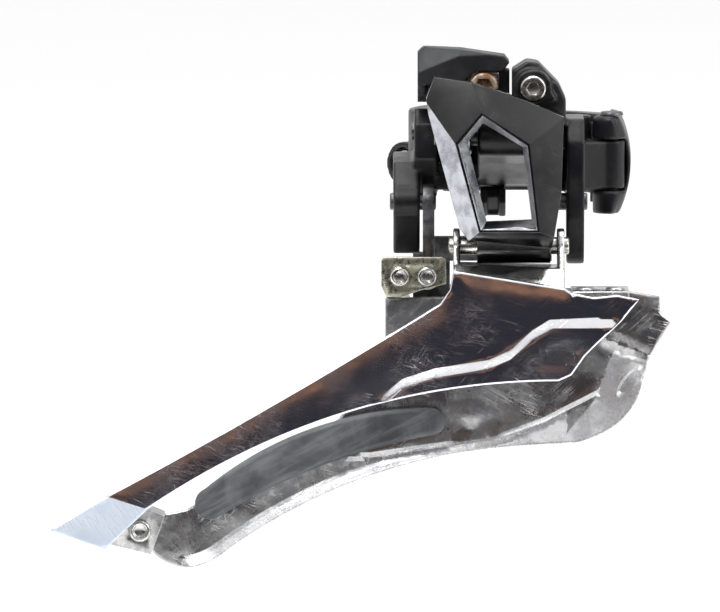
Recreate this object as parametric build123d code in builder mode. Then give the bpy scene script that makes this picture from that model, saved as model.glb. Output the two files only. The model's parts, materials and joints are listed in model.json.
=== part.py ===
"""Band-on front derailleur for two chainrings.

The origin is on the seat-tube axis at the clamp's mid height. +Z is up the
seat tube, +X is forward and -Y is outboard, away from the bicycle's frame.
Millimetres throughout.
"""
from math import atan2, degrees
import os

from build123d import *

os.makedirs("parts", exist_ok=True)

# ---------------------------------------------------------------- driving sizes
TUBE_R = 15.9                 # 31.8 mm seat tube
BAND_WALL = 3.4
BAND_R = TUBE_R + BAND_WALL
BAND_HALF = 7.0               # half height of the band
KNUCKLE_HALF = 8.5            # half height of the clamp hinge
CENTRE_KNUCKLE_HALF = 4.2
CENTRE_KNUCKLE_R = 2.3
HINGE_X = 16.0                # clamp hinge axis, parallel to Z
HINGE_Y = -15.0
HINGE_R = 3.3
HINGE_PIN_R = 1.25
CLAMP_BOLT_Z = -2.0
CLAMP_BOLT_R = 2.5
CLAMP_LUG_R = 3.9             # lugs that the clamp bolt draws together
CLAMP_LUG_T = 4.0             # thickness of the band's lug
BASE_CLAMP_LUG_T = 5.0        # thickness of the base's lug
CLAMP_LUG_AT = 22.2           # distance of the bolt's axis from the tube's axis
MOUTH = 1.0                   # half of the gap between the clamp's two halves

LINK_DROP = 19.0              # both links: height between their pivots
LINK_LEAN = 2.0               # both links: inboard lean between their pivots
OUTER_UP = (-38.0, 6.5)       # outer link, upper pivot (y, z)
OUTER_LOW = (OUTER_UP[0] + LINK_LEAN, OUTER_UP[1] - LINK_DROP)
INNER_UP = (-29.0, -5.4)      # inner link, upper pivot
INNER_LOW = (INNER_UP[0] + LINK_LEAN, INNER_UP[1] - LINK_DROP)
TOGGLE_SPAN = 13.0            # between the pivots of the toggle link
TOGGLE_RISE = (1.5, 6.6)      # from a lever's pivot to its toggle pivot
OUTER_TOGGLE = (OUTER_UP[0] + TOGGLE_RISE[0], OUTER_UP[1] + TOGGLE_RISE[1])
ARM_UP = (OUTER_UP[0] + TOGGLE_SPAN, OUTER_UP[1])
ARM_TOGGLE = (ARM_UP[0] + TOGGLE_RISE[0], ARM_UP[1] + TOGGLE_RISE[1])
PIN_R = 1.5                   # link pins
TOGGLE_PIN_R = 0.9
TOGGLE_EYE_R = 1.6
FIT = 0.05                    # radial clearance of a running pin
SIDE_GAP = 0.3                # gap beside a moving lug

OUTER_PLATE_Y = 46.0          # inner face of the outer plate, outboard distance
OUTER_PLATE_T = 1.4
INNER_PLATE_Y = 32.8          # inboard face of the inner plate
INNER_PLATE_T = 1.2
FLANGE_Z = -20.9              # where the two nose flanges meet
FLANGE_T = 1.2
NOSE_RIVETS = ((11.0, -41.4), (16.2, -41.4))    # rivets of the two flanges (x, y)
NOSE_RIVET_R = 1.1
TAIL_RIVET = (-65.7, -61.3)   # rivet of the cage's tail (x, z)
TAIL_RIVET_R = 1.2
BRACKET_RIVET = (-21.9, -25.6)    # rivet of the limit screw bracket (x, z)
BRACKET_RIVET_R = 0.9

LOW_SCREW = (-20.9, -17.7)    # limit screw axes (x, z)
HIGH_SCREW = (-16.2, -17.7)
LIMIT_SCREW_R = 1.7
ADJUST_AT = (2.1, 14.7)       # cable adjusting bolt (x, z)
ADJUST_R = 2.2
ANCHOR_AT = (-6.4, 14.6)      # cable anchor bolt (x, z)
ANCHOR_R = 2.0
SOCKET_AF = 2.0               # hex socket, across flats


def save(piece, label):
    """Name a finished piece and write its STEP file."""
    piece.part.label = label
    export_step(piece.part, f"parts/{label}.step")


def along_x(x, yz):
    """Plane across the X axis at x, centred on a pivot given as (y, z)."""
    return Plane(origin=(x, yz[0], yz[1]), x_dir=(0, 1, 0), z_dir=(1, 0, 0))


def outboard(y, xz):
    """Plane facing outboard at the distance y, centred on (x, z)."""
    return Plane(origin=(xz[0], -y, xz[1]), x_dir=(1, 0, 0), z_dir=(0, -1, 0))


def across_mouth(distance):
    """Plane across the clamp bolt, opposite the hinge, at a distance into the band."""
    to_hinge = Vector(HINGE_X, HINGE_Y, 0).normalized()
    into_band = to_hinge.rotate(Axis.Z, 90)
    centre = to_hinge * -CLAMP_LUG_AT + into_band * distance + Vector(0, 0, CLAMP_BOLT_Z)
    return Plane(origin=centre, x_dir=to_hinge, z_dir=into_band)


def half_plane_cut(side):
    """Cut away the half of a sketch on one side of the clamp's split line."""
    reach = 15.0
    centre = Vector(HINGE_X, HINGE_Y, 0).normalized().rotate(Axis.Z, 90) * (side * (reach - MOUTH))
    with Locations((centre.X, centre.Y)):
        Rectangle(60, 2 * reach, rotation=SPLIT_ANGLE, mode=Mode.SUBTRACT)


def facet(first, second, third):
    """Plane through three points whose normal points outboard."""
    a, b, c = Vector(*first), Vector(*second), Vector(*third)
    normal = (b - a).cross(c - a)
    if normal.Y > 0:
        normal = normal * -1
    return Plane(origin=a, z_dir=normal)


# ---------------------------------------------------------------- clamp and base
SPLIT_ANGLE = degrees(atan2(HINGE_Y, HINGE_X))
BASE_LUG_X = (-7.5, 5.0)      # base lug that carries the outer link's pin
REAR_LUG_X = (-18.4, -14.4)   # base lug at the rear of the cable arm
SADDLE_HALF = (-3.6, 8.5)     # saddle from below to above the clamp's middle
FRONT_LEG_X = (7.9, 11.0)
REAR_LEG_X = (-22.0, -17.4)

with BuildPart() as base_body:
    # Saddle: the outboard part of the ring, closed by the band.
    with BuildSketch(Plane.XY.offset(SADDLE_HALF[0])):
        Circle(BAND_R)
        Circle(TUBE_R, mode=Mode.SUBTRACT)
        half_plane_cut(1)
    extrude(amount=SADDLE_HALF[1] - SADDLE_HALF[0])
    # Centre knuckle of the clamp hinge.
    with BuildSketch(Plane.XY.offset(-CENTRE_KNUCKLE_HALF)):
        with Locations((HINGE_X, HINGE_Y)):
            Circle(CENTRE_KNUCKLE_R)
        with BuildLine():
            Polyline((15.2, -17.2), (2, -25), (2, -19), (11.8, -14.8), (13.8, -14.2), close=True)
        make_face()
    extrude(amount=2 * CENTRE_KNUCKLE_HALF)
    # Neck from the saddle to the lug of the outer link.
    with BuildSketch(along_x(BASE_LUG_X[0], (0, 0))):
        with BuildLine():
            Polyline((-17.5, -3.0), (-24, -3.0), (-33, 1.5), (-38, 3.0), (-38, 10.0), (-33.5, 10.2),
                     (-30, 9.4), (-17.5, 8.5), close=True)
        make_face()
        with Locations(OUTER_UP):
            Circle(3.5)
    extrude(amount=BASE_LUG_X[1] - BASE_LUG_X[0])
    # Rounded shoulder that holds the adjusting bolt.
    with BuildSketch(outboard(24.5, (0, 0))):
        with BuildLine():
            Polyline((-1.5, 10), (-1.5, 17.6), (1.0, 19.2), (3.0, 18.9), (6.6, 15.2), (7.8, 12.6),
                     (7.8, 8.0), (5.0, 8.0), close=True)
        make_face()
    extrude(amount=8.5)
    with BuildSketch(outboard(33.0, ADJUST_AT)):
        Circle(3.2)
        with BuildLine():
            Polyline((-0.4, 3.15), (1.0, 3.0), (4.1, -2.0), (1.9, -2.6), (-2.0, -2.4), close=True)
        make_face()
    extrude(amount=2.9)
    # Front leg and its web to the saddle.
    with BuildSketch(along_x(FRONT_LEG_X[0], (0, 0))):
        with BuildLine():
            Polyline((-31.5, -14.6), (-33, -8), (-32.5, 5.2), (-30.5, 9.0), (-18, 9.0), (-18, -3.6),
                     (-24.5, -7), (-26.5, -14.6), close=True)
        make_face()
        with Locations((-29, -13.6)):
            Circle(2.6)
    extrude(amount=FRONT_LEG_X[1] - FRONT_LEG_X[0])
    with BuildSketch(along_x(BASE_LUG_X[1], (0, 0))):
        with BuildLine():
            Polyline((-17.8, 2.0), (-30.0, 4.0), (-30.5, 9.0), (-17.8, 8.5), close=True)
        make_face()
    extrude(amount=FRONT_LEG_X[0] - BASE_LUG_X[1])
    # Rear side: lug for the cable arm, arm to the rear leg, bolt lug.
    with BuildSketch(along_x(REAR_LUG_X[0], (0, 0))):
        with BuildLine():
            Polyline((-29, 2.0), (-28.6, 8.0), (-25.6, 10.6), (-21, 9.6), (-12, 8.5), (-10, 1.0),
                     (-12, -3.6), (-25, -5.0), close=True)
        make_face()
        with Locations(ARM_UP):
            Circle(3.6)
    extrude(amount=REAR_LUG_X[1] - REAR_LUG_X[0])
    with BuildSketch(Plane.XY.offset(-3.6)):
        with BuildLine():
            Polyline((-15, -27), (-7.4, -27), (-7.4, -17.7), (-9, -17), (-15, -12), close=True)
        make_face()
    extrude(amount=3.4)
    with BuildSketch(along_x(REAR_LEG_X[0], (0, 0))):
        with BuildLine():
            Polyline((-27, -14.6), (-31.8, -7.5), (-31.0, -2.5), (-26, 1.2), (-12, 2.0), (-9, -3.6),
                     (-22, -6.5), (-23, -14.6), close=True)
        make_face()
        with Locations(INNER_UP):
            Circle(3.2)
    extrude(amount=REAR_LEG_X[1] - REAR_LEG_X[0])
    with BuildSketch(across_mouth(-MOUTH)):
        Circle(CLAMP_LUG_R)
        with Locations((3.0, 0)):
            Rectangle(4, 6.0)
    extrude(amount=-BASE_CLAMP_LUG_T)
    # Bore, room for the band's knuckles, and the holes.
    with BuildSketch(Plane.XY.offset(-20)):
        Circle(TUBE_R)
    extrude(amount=40, mode=Mode.SUBTRACT)
    for bottom in (CENTRE_KNUCKLE_HALF, -14.0):
        with BuildSketch(Plane.XY.offset(bottom)):
            with Locations((HINGE_X, HINGE_Y)):
                Circle(HINGE_R + 0.6)
        extrude(amount=14.0 - CENTRE_KNUCKLE_HALF, mode=Mode.SUBTRACT)
    with BuildSketch(Plane.XY.offset(-CENTRE_KNUCKLE_HALF)):
        with Locations((HINGE_X, HINGE_Y)):
            Circle(HINGE_PIN_R + FIT)
    extrude(amount=2 * CENTRE_KNUCKLE_HALF, mode=Mode.SUBTRACT)
    for x, pivot, radius, depth in (
        (BASE_LUG_X[0] - 1, OUTER_UP, PIN_R + 0.8, 15),
        (FRONT_LEG_X[0] - 1, INNER_UP, PIN_R, 5),
        (REAR_LEG_X[0] - 1, INNER_UP, PIN_R, 7),
        (REAR_LUG_X[0] - 1, ARM_UP, PIN_R, 6),
        (BASE_LUG_X[0] - 1, ARM_UP, PIN_R, 5),
    ):
        with BuildSketch(along_x(x, pivot)):
            Circle(radius)
        extrude(amount=depth, mode=Mode.SUBTRACT)
    with BuildSketch(across_mouth(0)):
        Circle(CLAMP_BOLT_R + 0.4)
    extrude(amount=-12, mode=Mode.SUBTRACT)
    with BuildSketch(outboard(24, ADJUST_AT)):
        Circle(ADJUST_R + FIT)
    extrude(amount=14, mode=Mode.SUBTRACT)
save(base_body, "base_body")

with BuildPart() as clamp_band:
    with BuildSketch(Plane.XY.offset(-BAND_HALF)):
        Circle(BAND_R)
        Circle(TUBE_R, mode=Mode.SUBTRACT)
        half_plane_cut(-1)
    extrude(amount=2 * BAND_HALF)
    # Crowned head that carries the two outer knuckles.
    with BuildSketch(Plane.XY.offset(-KNUCKLE_HALF)):
        with Locations((HINGE_X, HINGE_Y)):
            Circle(HINGE_R)
        with BuildLine():
            Polyline((HINGE_X + 3.3, HINGE_Y), (19.6, -2.0), (17.8, 1.5), (16.6, -3.0),
                     (HINGE_X - 0.6, HINGE_Y), close=True)
        make_face()
    extrude(amount=2 * KNUCKLE_HALF)
    fillet(edges().group_by(Axis.Z)[-1].group_by(Axis.X)[-1], 0.8)
    # Bolt lug at the rear.
    with BuildSketch(across_mouth(MOUTH)):
        Circle(CLAMP_LUG_R)
        with Locations((3.0, 0)):
            Rectangle(4, 6.0)
    extrude(amount=CLAMP_LUG_T)
    with BuildSketch(Plane.XY.offset(-20)):
        Circle(TUBE_R)
    extrude(amount=40, mode=Mode.SUBTRACT)
    # Room for the base's knuckle, then the pin and bolt holes.
    with BuildSketch(Plane.XY.offset(-CENTRE_KNUCKLE_HALF - SIDE_GAP)):
        with Locations((HINGE_X, HINGE_Y)):
            Circle(CENTRE_KNUCKLE_R + 0.35)
        with Locations((HINGE_X, HINGE_Y - 2.0)):
            Rectangle(2 * HINGE_R, 4.0)
        with Locations((HINGE_X - 2.3, HINGE_Y)):
            Rectangle(2.6, 4.6)
    extrude(amount=2 * (CENTRE_KNUCKLE_HALF + SIDE_GAP), mode=Mode.SUBTRACT)
    with BuildSketch(Plane.XY.offset(-KNUCKLE_HALF)):
        with Locations((HINGE_X, HINGE_Y)):
            Circle(HINGE_PIN_R + FIT)
    extrude(amount=2 * KNUCKLE_HALF, mode=Mode.SUBTRACT)
    with BuildSketch(across_mouth(0)):
        Circle(CLAMP_BOLT_R + FIT)
    extrude(amount=12, mode=Mode.SUBTRACT)
    with BuildSketch(across_mouth(MOUTH + CLAMP_LUG_T)):
        Circle(4.2)
    extrude(amount=12, mode=Mode.SUBTRACT)
save(clamp_band, "clamp_band")

with BuildPart() as clamp_hinge_pin:
    with BuildSketch(Plane.XY.offset(-KNUCKLE_HALF)):
        with Locations((HINGE_X, HINGE_Y)):
            Circle(HINGE_PIN_R)
    extrude(amount=2 * KNUCKLE_HALF)
    with BuildSketch(Plane.XY.offset(KNUCKLE_HALF)):
        with Locations((HINGE_X, HINGE_Y)):
            Circle(2.1)
    extrude(amount=0.7, taper=20)
save(clamp_hinge_pin, "clamp_hinge_pin")

with BuildPart() as clamp_bolt:
    with BuildSketch(across_mouth(0.4 - MOUTH - BASE_CLAMP_LUG_T)):
        Circle(CLAMP_BOLT_R)
    extrude(amount=2 * MOUTH + BASE_CLAMP_LUG_T + CLAMP_LUG_T - 0.3)
    with BuildSketch(across_mouth(MOUTH + CLAMP_LUG_T)):
        Circle(3.8)
        Circle(CLAMP_BOLT_R - 1, mode=Mode.SUBTRACT)
    extrude(amount=3.6)
    with BuildSketch(across_mouth(MOUTH + CLAMP_LUG_T)):
        Circle(CLAMP_BOLT_R)
    extrude(amount=1.2)
save(clamp_bolt, "clamp_bolt")

# ---------------------------------------------------------------- outer link
LINK_FRONT_Y = 46.0           # outboard distance of the link's centre face
LINK_EDGE_Y = 43.0            # where the sloping facets meet the side walls
LINK_BACK_Y = 35.0
TOP_WALL_BACK_Y = 40.5
LINK_WALL = 1.7
BARREL_X = (-7.6, 5.1)        # lower barrel, between the cage's ears
link_outline = [(-15.0, 17.1), (-16.4, 13.3), (-16.0, 10.7), (-13.3, 0.8), (-10.7, -8.8), (-9.2, -10.9),
                (5.3, -12.4), (6.9, -2.8), (7.3, 10.2), (4.3, 11.6), (1.0, 12.9), (-3.8, 14.8),
                (-9.1, 16.4)]
centre_face = [(-6.9, 11.2), (1.4, 5.8), (3.1, -9.4), (-7.3, -9.4), (-11.4, 5.9)]
window_rim = [(-6.7, 10.7), (1.0, 5.5), (2.7, -9.0), (-7.0, -9.0), (-10.9, 5.7)]
window_hole = [(-6.5, 8.3), (-0.4, 5.0), (1.0, -5.9), (-5.2, -6.5), (-8.1, 6.2)]


def link_facets(inset):
    """Planes that slope back from the centre face, moved inboard by inset."""
    top, right, low_right, low_left, left = [(x, inset - LINK_FRONT_Y, z) for x, z in centre_face]
    edge = inset - LINK_EDGE_Y
    return (
        facet(top, right, (7.3, edge + 0.3, 10.2)),
        facet(right, low_right, (7.3, edge, 5.0)),
        facet(left, low_left, (-13.3, edge, 0.8)),
        facet(top, left, (-16.4, edge, 13.3)),
        facet(low_left, low_right, (-2.0, edge, -11.8)),
    )


with BuildPart() as link_cavity:
    with BuildSketch(outboard(LINK_BACK_Y, (0, 0))):
        with BuildLine():
            Polyline(*link_outline, close=True)
        make_face()
        offset(amount=-LINK_WALL, kind=Kind.INTERSECTION, mode=Mode.REPLACE)
    extrude(amount=LINK_FRONT_Y - LINK_WALL - LINK_BACK_Y)
    for plane in link_facets(LINK_WALL):
        split(bisect_by=plane, keep=Keep.BOTTOM)

with BuildPart() as outer_link:
    with BuildSketch(outboard(LINK_BACK_Y, (0, 0))):
        with BuildLine():
            Polyline(*link_outline, close=True)
        make_face()
    extrude(amount=LINK_FRONT_Y - LINK_BACK_Y)
    for plane in link_facets(0):
        split(bisect_by=plane, keep=Keep.BOTTOM)
    add(link_cavity.part, mode=Mode.SUBTRACT)
    # The top wall is shallow, to swing clear of the base and the toggle link.
    with BuildSketch(outboard(LINK_BACK_Y - 1, (0, 0))):
        with Locations((-3.1, 14.8)):
            Rectangle(22.4, 10)
        with Locations((-4.5, 12.0)):
            Rectangle(19.4, 7)
    extrude(amount=TOP_WALL_BACK_Y - LINK_BACK_Y + 1, mode=Mode.SUBTRACT)
    # Barrel and cheeks at the two pivots, and the tail fork of the toggle.
    with BuildSketch(along_x(BARREL_X[0], OUTER_LOW)):
        Circle(3.0)
        with Locations((-3.0, 1.6)):
            Rectangle(6.0, 4.2)
    extrude(amount=BARREL_X[1] - BARREL_X[0])
    for x, depth in ((5.35, 1.6), (-14.0, 1.6)):
        with BuildSketch(along_x(x, OUTER_UP)):
            Circle(3.2)
        extrude(amount=depth)
    for x in (-13.6, -9.5):
        with BuildSketch(along_x(x, (0, 0))):
            with BuildLine():
                Polyline((-43.5, 10.2), (-43.5, 13.0), (-37.5, 14.9), (-35.0, 12.5), (-36.5, 10.6),
                         close=True)
            make_face()
            with Locations(OUTER_TOGGLE):
                Circle(TOGGLE_EYE_R + 0.2)
        extrude(amount=1.1)
    # Window with its wide bevel.
    with BuildSketch(outboard(LINK_FRONT_Y + 0.01, (0, 0))):
        with BuildLine():
            Polyline(*window_rim, close=True)
        make_face()
    with BuildSketch(outboard(LINK_FRONT_Y - 3.0, (0, 0))):
        with BuildLine():
            Polyline(*window_hole, close=True)
        make_face()
    loft(mode=Mode.SUBTRACT)
    with BuildSketch(outboard(LINK_BACK_Y, (0, 0))):
        with BuildLine():
            Polyline(*window_hole, close=True)
        make_face()
    extrude(amount=LINK_FRONT_Y - LINK_BACK_Y, mode=Mode.SUBTRACT)
    # Pin holes.
    with BuildSketch(along_x(-15.5, OUTER_UP)):
        Circle(PIN_R)
    extrude(amount=25, mode=Mode.SUBTRACT)
    with BuildSketch(along_x(-12, OUTER_LOW)):
        Circle(PIN_R + FIT)
    extrude(amount=25, mode=Mode.SUBTRACT)
    with BuildSketch(along_x(-15.5, OUTER_TOGGLE)):
        Circle(TOGGLE_PIN_R)
    extrude(amount=8, mode=Mode.SUBTRACT)
save(outer_link, "outer_link")

# ---------------------------------------------------------------- inner link
LEFT_CHEEK_X = (-16.9, -14.9)
RIGHT_CHEEK_X = (3.4, 5.4)
KNUCKLE_X = (-18.6, -12.2)    # lower knuckle, between the cage's tab ears

with BuildPart() as inner_link:
    for x0, x1 in (LEFT_CHEEK_X, RIGHT_CHEEK_X):
        with BuildSketch(along_x(x0, (0, 0))):
            with BuildLine():
                Polyline((-32.0, -5.4), (-31.2, -15.6), (-26.4, -15.6), (-26.0, -5.4), close=True)
            make_face()
            with Locations(INNER_UP):
                Circle(3.0)
        extrude(amount=x1 - x0)
    # Web that joins the cheeks, and the shank down to the lower knuckle.
    with BuildSketch(along_x(LEFT_CHEEK_X[0], (0, 0))):
        with BuildLine():
            Polyline((-30.8, -11.4), (-30.3, -15.6), (-28.1, -15.6), (-28.6, -11.4), close=True)
        make_face()
    extrude(amount=RIGHT_CHEEK_X[1] - LEFT_CHEEK_X[0])
    with BuildSketch(along_x(KNUCKLE_X[0], (0, 0))):
        with BuildLine():
            Polyline((-30.3, -14.2), (-29.4, -24.4), (-24.6, -24.4), (-27.6, -14.2), close=True)
        make_face()
        with Locations(INNER_LOW):
            Circle(2.8)
    extrude(amount=KNUCKLE_X[1] - KNUCKLE_X[0])
    # Wing that the low limit screw meets.
    with BuildSketch(outboard(28.2, (0, 0))):
        with BuildLine():
            Polyline((-22.6, -15.8), (-17, -15.4), (-17, -20.0), (-22.6, -19.6), close=True)
        make_face()
    extrude(amount=1.9)
    with BuildSketch(along_x(LEFT_CHEEK_X[0] - 1, INNER_UP)):
        Circle(PIN_R + FIT)
    extrude(amount=30, mode=Mode.SUBTRACT)
    with BuildSketch(along_x(KNUCKLE_X[0] - 1, INNER_LOW)):
        Circle(PIN_R + 0.1)
    extrude(amount=10, mode=Mode.SUBTRACT)
save(inner_link, "inner_link")

# ---------------------------------------------------------------- cable arm and toggle
ARM_X = (-13.8, -8.2)         # barrel and fork of the cable arm
TOGGLE_X = (-12.2, -9.8)

with BuildPart() as cable_arm:
    with BuildSketch(along_x(ARM_X[0], (0, 0))):
        with Locations(ARM_UP):
            Circle(3.3)
        with BuildLine():
            Polyline((-28.2, 6.5), (-27.2, 17.0), (-21.2, 16.6), (-21.8, 6.5), close=True)
        make_face()
    extrude(amount=ARM_X[1] - ARM_X[0])
    # Hood over the arm: top, front lip and rear cheek.
    with BuildSketch(outboard(24.8, (0, 0))):
        with BuildLine():
            Polyline((-17.8, 17.3), (-17.8, 20.4), (-16.8, 21.4), (-10.3, 21.1), (-2.8, 20.0),
                     (-1.9, 18.9), (-3.1, 17.3), close=True)
        make_face()
    extrude(amount=7.0)
    fillet(edges().filter_by(Axis.Y).group_by(Axis.Z)[-1], 0.6)
    with BuildSketch(along_x(-17.8, (0, 0))):
        with BuildLine():
            Polyline((-31.8, 17.5), (-31.2, 13.2), (-27.5, 13.2), (-24.8, 17.5), close=True)
        make_face()
    extrude(amount=1.3)
    with BuildSketch(along_x(-17.8, (0, 0))):
        with BuildLine():
            Polyline((-28.5, 11.8), (-28.5, 17.5), (-25.0, 17.5), (-25.0, 11.8), close=True)
        make_face()
    extrude(amount=15.9)
    with BuildSketch(outboard(30.3, (0, 0))):
        with BuildLine():
            Polyline((-17.8, 14.8), (-17.8, 17.5), (-7.5, 17.5), (-9.9, 15.6), (-12.0, 15.4), close=True)
        make_face()
    extrude(amount=1.5)
    # Slot for the toggle link, deep enough for it at the end of the swing.
    with BuildSketch(along_x(TOGGLE_X[0] - SIDE_GAP, (0, 0))):
        with BuildLine():
            Polyline((-35, 15.1), (-20, 15.1), (-20, 11.1), (-22.9, 11.1), (-29.2, 7.5), (-35, 4.2),
                     close=True)
        make_face()
    extrude(amount=TOGGLE_X[1] - TOGGLE_X[0] + 2 * SIDE_GAP, mode=Mode.SUBTRACT)
    with BuildSketch(along_x(ARM_X[0] - 1, ARM_UP)):
        Circle(PIN_R + FIT)
    extrude(amount=10, mode=Mode.SUBTRACT)
    with BuildSketch(along_x(ARM_X[0] - 1, ARM_TOGGLE)):
        Circle(TOGGLE_PIN_R)
    extrude(amount=10, mode=Mode.SUBTRACT)
    with BuildSketch(outboard(20, ANCHOR_AT)):
        Circle(ANCHOR_R + FIT)
    extrude(amount=9, mode=Mode.SUBTRACT)
save(cable_arm, "cable_arm")

with BuildPart() as toggle_link:
    with BuildSketch(along_x(TOGGLE_X[0], (0, 0))):
        with Locations(OUTER_TOGGLE, ARM_TOGGLE):
            Circle(TOGGLE_EYE_R)
        with Locations(((OUTER_TOGGLE[0] + ARM_TOGGLE[0]) / 2, OUTER_TOGGLE[1])):
            Rectangle(TOGGLE_SPAN, 2.4)
    extrude(amount=TOGGLE_X[1] - TOGGLE_X[0])
    with BuildSketch(along_x(TOGGLE_X[0] - 1, (0, 0))):
        with Locations(OUTER_TOGGLE):
            Circle(TOGGLE_PIN_R + 0.1)
        with Locations(ARM_TOGGLE):
            Circle(TOGGLE_PIN_R + FIT)
    extrude(amount=6, mode=Mode.SUBTRACT)
save(toggle_link, "toggle_link")

# ---------------------------------------------------------------- cage
EAR_X = ((-11.7, 1.2), (6.2, 1.3))          # ears of the outer plate: start, thickness
TAB_EAR_X = ((-20.4, 1.3), (-11.7, 1.3))    # ears of the inner plate's tab
BRIDGE_X = (-11.7, 7.5)
NOSE_X = (8.6, 18.6)

with BuildPart() as outer_plate:
    with BuildSketch(outboard(OUTER_PLATE_Y, (0, 0))):
        with BuildLine():
            Polyline((-64.3, -57.1), (-71.6, -64.0), (-81.2, -60.7), (-71.0, -54.6))
            ThreePointArc((-71.0, -54.6), (-42.6, -38.8), (-14.0, -21.6))
            Polyline((-14.0, -21.6), (-11.7, -18.6), (7.5, -18.9), (8.6, -19.5), (13.1, -20.6),
                     (14.5, -19.8), (20.2, -20.9), (17.2, -24.6), (13.1, -28.4), (10.9, -30.6),
                     (8.6, -33.9), (6.4, -34.9))
            ThreePointArc((6.4, -34.9), (-30.3, -40.5), (-64.3, -57.1))
        make_face()
    extrude(amount=OUTER_PLATE_T)
    # Raised rib across the front half and the pocket below it.
    with BuildSketch(outboard(OUTER_PLATE_Y + OUTER_PLATE_T, (0, 0))):
        with BuildLine():
            Polyline((-24.3, -38.4), (-20.5, -35.1), (-15.0, -33.4), (-5.7, -32.0), (-1.9, -30.3),
                     (1.9, -26.8), (4.8, -24.9), (13.1, -24.6), (16.4, -25.3), (15.4, -26.6),
                     (6.0, -26.9), (3.6, -28.2), (0.2, -31.8), (-4.0, -33.6), (-14.8, -34.9),
                     (-20.6, -37.6), close=True)
        make_face()
    extrude(amount=0.6)
    with BuildSketch(outboard(OUTER_PLATE_Y + OUTER_PLATE_T - 0.5, (0, 0))):
        with BuildLine():
            Polyline((3.4, -29.8), (6.0, -28.0), (12.4, -27.8), (9.8, -30.4), (8.0, -33.2),
                     (1.2, -32.8), close=True)
        make_face()
    extrude(amount=1.5, mode=Mode.SUBTRACT)
    # Bridge that turns inboard under the link, with the two ears.
    with BuildSketch(along_x(BRIDGE_X[0], (0, 0))):
        with BuildLine():
            Polyline((-47.4, -20.0), (-47.4, -18.6), (-43.4, -15.9), (-33.0, -15.9), (-33.0, -17.1),
                     (-43.0, -17.1), (-46.0, -19.2), (-46.0, -20.0), close=True)
        make_face()
    extrude(amount=BRIDGE_X[1] - BRIDGE_X[0])
    for x, thickness in EAR_X:
        with BuildSketch(along_x(x, (0, 0))):
            with BuildLine():
                Polyline((-43.4, -16.2), (-39.0, -12.5), (-33.0, -12.5), (-33.0, -16.2), close=True)
            make_face()
            with Locations(OUTER_LOW):
                Circle(3.0)
        extrude(amount=thickness)
    # Nose flange.
    with BuildSketch(along_x(NOSE_X[0], (0, 0))):
        with BuildLine():
            Polyline((-46.2, FLANGE_Z - FLANGE_T), (-46.2, FLANGE_Z), (-39.5, FLANGE_Z),
                     (-39.5, FLANGE_Z - FLANGE_T), close=True)
        make_face()
    extrude(amount=NOSE_X[1] - NOSE_X[0])
    with BuildSketch(along_x(EAR_X[0][0] - 1, OUTER_LOW)):
        Circle(PIN_R)
    extrude(amount=25, mode=Mode.SUBTRACT)
    with BuildSketch(Plane.XY.offset(FLANGE_Z - 2)):
        with Locations(*NOSE_RIVETS):
            Circle(NOSE_RIVET_R)
    extrude(amount=3, mode=Mode.SUBTRACT)
save(outer_plate, "outer_plate")

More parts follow.
